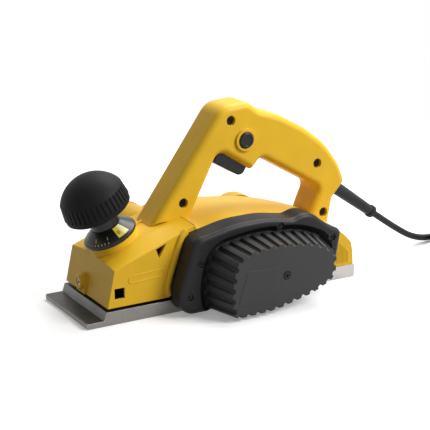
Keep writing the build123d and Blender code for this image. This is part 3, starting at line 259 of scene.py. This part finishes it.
YELLOW = (0.80, 0.475, 0.018)
CHARCOAL = (0.0085, 0.0085, 0.0092)
BLACK = (0.007, 0.007, 0.0075)
CUTTER_LINES = (0.15, 4, 4)   # milled along the shoes
PRINT_EDGE = 0.05 * MM
# each moulded plastic's second colour is its edge colour: partly rubbed wear, partly painted highlight
slot_materials = {
    "yellow_plastic": moulded_plastic(
        "yellow_plastic", YELLOW, (0.88, 0.60, 0.08), 0.44, 1500, specular=0.28),
    "charcoal_plastic": moulded_plastic(
        "charcoal_plastic", CHARCOAL, (0.060, 0.060, 0.062), 0.44, 1700, specular=0.24),
    "black_plastic": moulded_plastic(
        "black_plastic", BLACK, (0.035, 0.035, 0.035), 0.28, 1700, specular=0.30),
    "black_rubber": soft_rubber("black_rubber", (0.006, 0.006, 0.006), 0.54, specular=0.10),
    "cord_rubber": soft_rubber("cord_rubber", (0.014, 0.014, 0.016), 0.46),
    "belt_rubber": soft_rubber("belt_rubber", (0.012, 0.012, 0.012), 0.60),
    "shoe_aluminium": cast_aluminium(
        "shoe_aluminium", (0.26, 0.25, 0.235), 0.46, CUTTER_LINES, skin=0.22),
    "plate_aluminium": cast_aluminium("plate_aluminium", (0.50, 0.50, 0.52), 0.45, (1, 1, 1)),
    "drum_aluminium": cast_aluminium("drum_aluminium", (0.62, 0.62, 0.64), 0.28, (1, 8, 1)),
    "screw_steel": plain_steel("screw_steel", (0.030, 0.030, 0.032), 0.38),
    "bright_steel": plain_steel("bright_steel", (0.58, 0.58, 0.60), 0.24),
    "spring_steel": plain_steel("spring_steel", (0.42, 0.42, 0.44), 0.30),
    "bearing_steel": plain_steel("bearing_steel", (0.68, 0.68, 0.70), 0.18),
    "core_steel": plain_steel("core_steel", (0.20, 0.20, 0.22), 0.42),
    "copper": wound_copper("copper"),
    "brass": plain_steel("brass", (0.66, 0.48, 0.18), 0.28),
    "carbon": soft_rubber("carbon", (0.02, 0.02, 0.02), 0.55),
    "fan_plastic": moulded_plastic(
        "fan_plastic", (0.09, 0.09, 0.095), (0.2, 0.2, 0.2), 0.45, 1500),
    "capacitor_case": moulded_plastic(
        "capacitor_case", (0.60, 0.42, 0.08), (0.7, 0.5, 0.2), 0.35, 1500),
}
# finishes of single pieces, which differ from their slot's own
PRINT_YELLOW = moulded_plastic(
    "print_yellow", (0.62, 0.52, 0.03), (0.7, 0.6, 0.1), 0.35, 1500, PRINT_EDGE)
# paler yellow that paints a highlight on the right part of the dial's printed field
PRINT_PAINTED_HIGHLIGHT = moulded_plastic(
    "print_painted_highlight", (0.72, 0.68, 0.32), (0.75, 0.7, 0.4), 0.30, 1500, PRINT_EDGE)
SEAM_SHADE = moulded_plastic(
    "seam_shade", (0.30, 0.15, 0.008), (0.30, 0.15, 0.01), 0.6, 1500, PRINT_EDGE)
BELT_COVER_FACE = moulded_plastic(
    "charcoal_satin", (0.032, 0.032, 0.033), (0.08, 0.08, 0.082), 0.48, 1700, specular=0.30)
REAR_SHOE = cast_aluminium(
    "rear_shoe_aluminium", (0.50, 0.49, 0.47), 0.42, CUTTER_LINES, skin=0.5)
BOLT_STEEL = plain_steel("bolt_steel", (0.50, 0.49, 0.47), 0.30)


def dress(obj, material):
    obj.data.materials.clear()
    obj.data.materials.append(material)


slots = {entry["node"]: entry["material_slot"] for entry in frame["record"]["subparts"]}
for name, slot in slots.items():
    dress(nodes[name], slot_materials[slot])
for name, material in (("fence_clamp_screw", BOLT_STEEL), ("belt_cover", BELT_COVER_FACE),
                       ("rear_shoe", REAR_SHOE)):
    dress(nodes[name], material)


# ------------------------------------------------------------------ camera, floor, light
CAMERA_PLACE = (-0.5873, -1.0283, 0.4255)
CAMERA_LOOK = Vector((0.4829, 0.8279, -0.2855))
CAMERA_LENS = 108.84          # mm, on a sensor 36 mm wide
AMBIENT = 0.23                # strength of the world where the camera doesn't see it
FLOOR_GLOW = 0.26             # lifts the paper to white
FLOOR_BOUNCE = 0.26           # shade of the floor as the object sees it
FLOOR_HALF = 3.0
FLOOR_DROP = 0.0002
FADE_START = 0.35             # the paper fades into the world between these distances
FADE_END = 0.85
OBJECT_MIDDLE = (0.0, 0.0, 0.05)


def make_camera():
    data = bpy.data.cameras.new("camera")
    data.sensor_width = 36
    data.lens = CAMERA_LENS
    data.clip_start = 0.05
    camera = bpy.data.objects.new("camera", data)
    bpy.context.scene.collection.objects.link(camera)
    camera.location = CAMERA_PLACE
    camera.rotation_mode = "QUATERNION"
    camera.rotation_quaternion = CAMERA_LOOK.to_track_quat("-Z", "Y")
    bpy.context.scene.camera = camera


def area_light(name, place, size, power):
    """A soft box that faces the object."""
    data = bpy.data.lights.new(name, "AREA")
    data.shape = "RECTANGLE"
    data.size, data.size_y = size
    data.energy = power
    lamp = bpy.data.objects.new(name, data)
    bpy.context.scene.collection.objects.link(lamp)
    lamp.location = place
    lamp.rotation_mode = "QUATERNION"
    lamp.rotation_quaternion = (Vector(OBJECT_MIDDLE) - Vector(place)).to_track_quat("-Z", "Y")


def seen_directly(tree):
    """1 for what the camera sees itself, in a reflection or through glass, else 0."""
    light_path = tree.nodes.new("ShaderNodeLightPath")
    total = light_path.outputs["Is Camera Ray"]
    for name in ("Is Glossy Ray", "Is Transmission Ray"):
        add = tree.nodes.new("ShaderNodeMath")
        add.operation = "ADD"
        add.use_clamp = True
        tree.links.new(total, add.inputs[0])
        tree.links.new(light_path.outputs[name], add.inputs[1])
        total = add.outputs[0]
    return total


def make_world():
    world = bpy.data.worlds.new("studio")
    bpy.context.scene.world = world
    world.use_nodes = True
    tree = world.node_tree
    ambient = tree.nodes["Background"]
    ambient.inputs["Color"].default_value = (1, 1, 1, 1)
    ambient.inputs["Strength"].default_value = AMBIENT
    white = tree.nodes.new("ShaderNodeBackground")
    white.inputs["Color"].default_value = (1, 1, 1, 1)
    mix = tree.nodes.new("ShaderNodeMixShader")
    tree.links.new(seen_directly(tree), mix.inputs["Fac"])
    tree.links.new(ambient.outputs["Background"], mix.inputs[1])
    tree.links.new(white.outputs["Background"], mix.inputs[2])
    tree.links.new(mix.outputs["Shader"], tree.nodes["World Output"].inputs["Surface"])


def make_floor():
    """White paper that keeps the object's shadow and fades into the white world further out."""
    corners = [(x * FLOOR_HALF, y * FLOOR_HALF, 0) for x, y in ((-1, -1), (1, -1), (1, 1), (-1, 1))]
    mesh = bpy.data.meshes.new("floor")
    mesh.from_pydata(corners, [], [(0, 1, 2, 3)])
    floor = bpy.data.objects.new("floor", mesh)
    floor.location.z = -FLOOR_DROP
    bpy.context.scene.collection.objects.link(floor)
    material = bpy.data.materials.new("floor_white")
    material.use_nodes = True
    tree = material.node_tree
    tree.nodes.remove(tree.nodes["Principled BSDF"])

    def diffuse(shade):
        node = tree.nodes.new("ShaderNodeBsdfDiffuse")
        node.inputs["Color"].default_value = (shade, shade, shade, 1)
        return node.outputs["BSDF"]

    def mixed(factor, first, second):
        node = tree.nodes.new("ShaderNodeMixShader")
        tree.links.new(factor, node.inputs["Fac"])
        tree.links.new(first, node.inputs[1])
        tree.links.new(second, node.inputs[2])
        return node.outputs["Shader"]

    glow = tree.nodes.new("ShaderNodeEmission")
    glow.inputs["Strength"].default_value = FLOOR_GLOW
    paper = tree.nodes.new("ShaderNodeAddShader")
    tree.links.new(diffuse(0.80), paper.inputs[0])
    tree.links.new(glow.outputs["Emission"], paper.inputs[1])
    place = tree.nodes.new("ShaderNodeTexCoord")
    distance = tree.nodes.new("ShaderNodeVectorMath")
    distance.operation = "LENGTH"
    tree.links.new(place.outputs["Object"], distance.inputs[0])
    fade = tree.nodes.new("ShaderNodeMapRange")
    fade.interpolation_type = "SMOOTHSTEP"
    tree.links.new(distance.outputs["Value"], fade.inputs["Value"])
    fade.inputs["From Min"].default_value = FADE_START
    fade.inputs["From Max"].default_value = FADE_END
    clear = tree.nodes.new("ShaderNodeBsdfTransparent")
    shown = mixed(fade.outputs["Result"], paper.outputs["Shader"], clear.outputs["BSDF"])
    shader = mixed(seen_directly(tree), diffuse(FLOOR_BOUNCE), shown)
    tree.links.new(shader, tree.nodes["Material Output"].inputs["Surface"])
    mesh.materials.append(material)


make_camera()
make_world()
make_floor()
area_light("key", (1.05, -1.20, 1.25), (0.9, 0.9), 38)
area_light("top", (0.75, 0.45, 1.5), (1.3, 1.0), 30)
bpy.context.scene.view_settings.view_transform = "Standard"


# ------------------------------------------------------------------ small forms on the CAD pieces
def add_piece(name, data, slot, body="body", material=None):
    """Puts a mesh or curve on a body, in its slot's finish or in one of its own."""
    piece = bpy.data.objects.new(name, data)
    bpy.context.scene.collection.objects.link(piece)
    data.materials.clear()
    data.materials.append(material or slot_materials[slot])
    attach(piece, body)
    return piece


def mesh_from(bm, name):
    bmesh.ops.recalc_face_normals(bm, faces=bm.faces)
    mesh = bpy.data.meshes.new(name)
    bm.to_mesh(mesh)
    bm.free()
    return mesh


def soften(piece, width):
    """Rounds the piece's sharp edges."""
    bevel = piece.modifiers.new("softened", "BEVEL")
    bevel.width = width
    bevel.segments = 2
    bevel.limit_method = "ANGLE"
    bevel.angle_limit = radians(35)
    return piece


def smooth(mesh):
    for polygon in mesh.polygons:
        polygon.use_smooth = True
    return mesh


def tube(name, points, radius, slot, material=None, closed=False, order=3):
    """A round bead along a few points in mm."""
    curve = bpy.data.curves.new(name, "CURVE")
    curve.dimensions = "3D"
    curve.bevel_depth = radius * MM
    curve.bevel_resolution = 4
    curve.resolution_u = 8
    curve.use_fill_caps = not closed
    spline = curve.splines.new("NURBS")
    spline.points.add(len(points) - 1)
    for target, place in zip(spline.points, points):
        target.co = (*(Vector(place) * MM), 1)
    spline.order_u = order
    spline.use_endpoint_u = not closed
    spline.use_cyclic_u = closed
    add_piece(name, curve, slot, material=material)


def rounded_outline(corners, steps=6):
    """Closed outline of (x, y, radius) corners with each corner as an arc."""
    outline = []
    for index, (x, y, radius) in enumerate(corners):
        corner = Vector((x, y))
        before = Vector(corners[index - 1][:2]) - corner
        after = Vector(corners[(index + 1) % len(corners)][:2]) - corner
        before.normalize()
        after.normalize()
        half = before.angle(after) / 2
        middle = corner + (before + after).normalized() * radius / sin(half)
        first = corner + before * radius / tan(half) - middle
        turn = first.angle_signed(corner + after * radius / tan(half) - middle)
        for step in range(steps + 1):
            outline.append(middle + Matrix.Rotation(-turn * step / steps, 2) @ first)
    return outline


def plate(name, corners, frame_matrix, thickness, slot, material, edge):
    """A thin flat plate with rounded corners, in mm, on the frame's XY plane."""
    bm = bmesh.new()
    low = [bm.verts.new((*(p * MM), 0)) for p in rounded_outline(corners)]
    high = [bm.verts.new((*(p * MM), thickness * MM)) for p in rounded_outline(corners)]
    bm.faces.new(low)
    bm.faces.new(high)
    for i, start in enumerate(low):
        j = (i + 1) % len(low)
        bm.faces.new((start, low[j], high[j], high[i]))
    bm.transform(frame_matrix)
    soften(add_piece(name, mesh_from(bm, name), slot, material=material), edge * MM)


def side_frame(x, y, z):
    """Upright frame that faces the near side: X along the object, Y up, Z outwards."""
    turned = Matrix(((1, 0, 0), (0, 0, 1), (0, -1, 0))).transposed().to_4x4()
    return Matrix.Translation((x, y, z)) @ turned


def lathe(name, profile, frame_matrix, slot, body):
    """Solid of revolution about the frame's Z from a closed (radius, height) profile in mm."""
    steps = 48
    bm = bmesh.new()
    rings = []
    for step in range(steps):
        angle = 2 * pi * step / steps
        rings.append([bm.verts.new((r * MM * cos(angle), r * MM * sin(angle), h * MM))
                      for r, h in profile])
    for ring, following in zip(rings, rings[1:] + rings[:1]):
        for i in range(len(profile)):
            j = (i + 1) % len(profile)
            bm.faces.new((ring[i], ring[j], following[j], following[i]))
    bm.transform(frame_matrix)
    soften(add_piece(name, smooth(mesh_from(bm, name)), slot, body), 0.2 * MM)


PRINT_PROUD = 0.12            # height of the dial's print above the cone, in mm
PRINT_DEPTH = 0.15            # and how far its foot sinks in
FIRST_MARK = -118             # degrees about the knob
NUMBER_PITCH = 34
NUMBER_COUNT = 7
MARK_PITCH = 8.5


def cone_point(angle, along, proud):
    """Place on the dial's cone: degrees about the knob, share from foot to top, mm above it."""
    r = DIAL_RIM[0] + along * (DIAL_TOP[0] - DIAL_RIM[0])
    h = DIAL_RIM[1] + along * (DIAL_TOP[1] - DIAL_RIM[1])
    slope = atan2(DIAL_RIM[0] - DIAL_TOP[0], DIAL_TOP[1] - DIAL_RIM[1])
    r += proud * cos(slope)
    h += proud * sin(slope)
    turn = radians(angle)
    return KNOB_FRAME @ (Vector((r * cos(turn), r * sin(turn), h)) * MM)


def dial_patch(name, start, end, low, high, material):
    """A printed field on the cone, as a thin closed shell."""
    steps = 10
    bm = bmesh.new()
    layers = []
    for height in (-PRINT_DEPTH, PRINT_PROUD):
        layers.append([[bm.verts.new(cone_point(start + (end - start) * i / steps, along, height))
                        for along in (low, high)] for i in range(steps + 1)])
    under, over = layers
    for i in range(steps):
        bm.faces.new((over[i][0], over[i + 1][0], over[i + 1][1], over[i][1]))
        bm.faces.new((under[i][1], under[i + 1][1], under[i + 1][0], under[i][0]))
        for k in (0, 1):
            bm.faces.new((under[i][k], under[i + 1][k], over[i + 1][k], over[i][k]))
    for i in (0, steps):
        bm.faces.new((under[i][0], over[i][0], over[i][1], under[i][1]))
    add_piece(name, mesh_from(bm, name), "black_plastic", "knob", material)


def dial_number(text, angle, material, size=4.2, along=0.42):
    """A plain number wrapped onto the cone."""
    curve = bpy.data.curves.new("number_" + text, "FONT")
    curve.body = text
    curve.size = size
    curve.extrude = PRINT_PROUD
    curve.align_x = "CENTER"
    curve.align_y = "CENTER"
    holder = bpy.data.objects.new("number_holder", curve)
    bpy.context.scene.collection.objects.link(holder)
    bpy.context.view_layer.update()
    mesh = bpy.data.meshes.new_from_object(holder)
    bpy.data.objects.remove(holder)
    slant = Vector(DIAL_RIM).to_2d() - Vector(DIAL_TOP).to_2d()
    for vertex in mesh.vertices:
        share = along + vertex.co.y / slant.length
        r = DIAL_RIM[0] + share * (DIAL_TOP[0] - DIAL_RIM[0])
        vertex.co = cone_point(angle + vertex.co.x * 180 / (pi * r), share, 0.14 + vertex.co.z)
    add_piece("dial_number_" + text, mesh, "black_plastic", "knob", material)


def make_dial():
    dial_patch("dial_field_yellow", -92, -75.5, 0.10, 0.94, PRINT_YELLOW)
    # right part of the printed field, drawn paler as a painted highlight
    dial_patch("dial_field_painted_highlight", -75, -60, 0.10, 0.94, PRINT_PAINTED_HIGHLIGHT)
    dial_number("0", -83.5, slot_materials["black_plastic"], 5.5, 0.45)
    for number in range(NUMBER_COUNT):
        dial_number(str(number + 1), FIRST_MARK - NUMBER_PITCH * number, PRINT_YELLOW)
    for step in range(int(NUMBER_COUNT * NUMBER_PITCH / MARK_PITCH)):
        angle = FIRST_MARK - MARK_PITCH * step
        dial_patch(f"dial_mark_{step:02d}", angle - 0.7, angle + 0.7, 0.04, 0.17, PRINT_YELLOW)


COLLAR_LINE = ((-62.4, 18), (-64.3, 22), (-64.0, 29), (-57.5, 48), (-51.0, 66.5), (-48.5, 72.0),
               (-44.0, 75.0))
FIELD_CORNERS = [(-103, 35.6, 3.2), (-67.5, 37.6, 3.2), (-67.5, 44.2, 3.2), (-103, 42.2, 3.2)]
RIB_COUNT = 15
RIB_START = 116.5
RIB_PITCH = 1.5
RIB_FOOT = 16
RIB_TOP = 47                  # height of the first rib; the others are shorter by the slope
RIB_SLOPE = 0.95


def make_body_details():
    """Beads on the near side's flat face, which lies at y = -side, and the seam over the top."""
    side = BODY_HALF / MM
    tube("cover_collar", [(x, -side, z) for x, z in COLLAR_LINE], 3.4, "yellow_plastic")
    tube("side_field_frame", [(p.x, -side, p.y) for p in rounded_outline(FIELD_CORNERS, 4)], 0.45,
         "yellow_plastic", closed=True)
    tube("pointer_ridge", [(-73.2, 3.2, 72.4), (-70, 3.8, 73.6), (-66, 4.6, 74.8), (-62, 5.2, 76.0)],
         1.1, "yellow_plastic")
    tube("body_seam", [(SEAM_X, y, z) for y, z in (
        (-side, 62), (-side, SEAM_TOP - 1.23), (-22, SEAM_TOP + 0.02), (0, SEAM_TOP + 0.05),
        (22, SEAM_TOP + 0.02), (side, SEAM_TOP - 1.23), (side, 30))],
         0.28, "yellow_plastic", SEAM_SHADE, order=2)
    for i in range(RIB_COUNT):
        x = RIB_START + RIB_PITCH * i
        top = RIB_TOP - RIB_SLOPE * RIB_PITCH * i
        line = [(x, -side, RIB_FOOT), (x, -side, (top + RIB_FOOT) / 2), (x, -side, top)]
        tube(f"rear_rib_{i:02d}", line, 0.42, "yellow_plastic")


def make_fence_hole_shade():
    """Dark walls a little way inside the square fence hole: painted shade for the hole's dark inside.
    """
    low, high = -BODY_HALF + 1.6 * MM, BODY_HALF - 1.6 * MM
    reach = 5.0 * MM
    depth = 0.15 * MM
    bm = bmesh.new()
    rings = []
    for y in (low, high):
        for size in (reach, reach - depth):
            rings.append([bm.verts.new(FENCE_CENTRE + Vector((size * i, y, size * k)))
                          for i, k in ((-1, -1), (1, -1), (1, 1), (-1, 1))])
    for first, second in ((0, 1), (1, 3), (3, 2), (2, 0)):
        for i in range(4):
            j = (i + 1) % 4
            bm.faces.new((rings[first][i], rings[first][j], rings[second][j], rings[second][i]))
    # black sheet that paints the shade inside the hole
    add_piece("fence_hole_painted_shade", mesh_from(bm, "fence_hole_painted_shade"), "black_plastic")


def make_cover_details():
    """The bare raised panel on the belt cover's face."""
    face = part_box("belt_cover")[0][1]
    plate("cover_panel", [(-21, 16, 3), (21.7, 12.5, 3), (22.2, 45.8, 3), (-10.6, 46.7, 3)],
          side_frame(0, face + 0.1 * MM, 0), 0.32, "charcoal_plastic", BELT_COVER_FACE, 0.12)


def make_lock_rim():
    """The rounded rim around the lock button's dished face."""
    low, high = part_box("lock_button")
    place = side_frame((low[0] + high[0]) / 2, low[1], (low[2] + high[2]) / 2)
    profile = [(4.7, -0.2), (5.1, 0.35), (6.0, 0.55), (6.7, 0.35), (7.0, -0.25)]
    lathe("lock_rim", profile, place, "black_plastic", "lock")


make_dial()
make_body_details()
make_fence_hole_shade()
make_cover_details()
make_lock_rim()


# ------------------------------------------------------------------ mains cord
ROUTE = ((234.5, 0.5, 22.2), (253.5, 2.0, 11.0), (275.0, 5.0, 4.6), (299.0, 7.9, 3.6))


def relief_tip():
    """Where the cord leaves its strain relief, and in which direction."""
    direction = Vector((cos(RELIEF_DROP), 0, -sin(RELIEF_DROP)))
    return RELIEF_EXIT + RELIEF_LENGTH * direction, direction


def coil_points():
    """Turns of the put-away coil: three beside each other, in three layers."""
    pitch = 2 * CORD_RADIUS
    per_turn = 14
    points = []
    turns = [(column, layer) for layer in range(COIL_LAYERS) for column in (
        range(COIL_COLUMNS) if layer % 2 == 0 else reversed(range(COIL_COLUMNS)))]
    for number, (column, layer) in enumerate(turns):
        radius = COIL_MID_RADIUS + (1 - column) * pitch
        height = CORD_RADIUS + layer * pitch
        following = turns[number + 1] if number + 1 < len(turns) else (column, layer)
        for step in range(per_turn):
            angle = pi / 2 - 2 * pi * step / per_turn
            slide = max(0.0, (step - per_turn + 4) / 4)
            r = radius + slide * ((1 - following[0]) * pitch + COIL_MID_RADIUS - radius)
            z = height + slide * (CORD_RADIUS + following[1] * pitch - height)
            points.append(COIL_CENTRE + Vector((r * cos(angle), r * sin(angle), z)))
    return points


def make_cord():
    tip, direction = relief_tip()
    points = [tip, tip + 21 * MM * direction]
    points += [Vector(place) * MM for place in ROUTE]
    points += coil_points()
    curve = bpy.data.curves.new("mains_cord", "CURVE")
    curve.dimensions = "3D"
    curve.bevel_depth = CORD_RADIUS * 0.97
    curve.bevel_resolution = 5
    curve.resolution_u = 6
    curve.use_fill_caps = True
    spline = curve.splines.new("NURBS")
    spline.points.add(len(points) - 1)
    for target, place in zip(spline.points, points):
        target.co = (*place, 1)
    spline.order_u = 3
    spline.use_endpoint_u = True
    cord = bpy.data.objects.new("mains_cord", curve)
    bpy.context.scene.collection.objects.link(cord)
    curve.materials.append(slot_materials["cord_rubber"])
    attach(cord, "body")
    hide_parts("power_cord", "cord_coil")


def make_springs():
    """Puts a copy of each deforming coil spring's mesh on the body and hides its CAD node."""
    for joint in frame["record"]["behaviour"]["joints"]:
        for entry in joint.get("deforming_nodes", []):
            name = entry["node"]
            coil = nodes[name].data
            piece = add_piece(name + "_coil", coil.copy(), slots[name])
            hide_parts(name)
            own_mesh(piece)


make_cord()
make_springs()
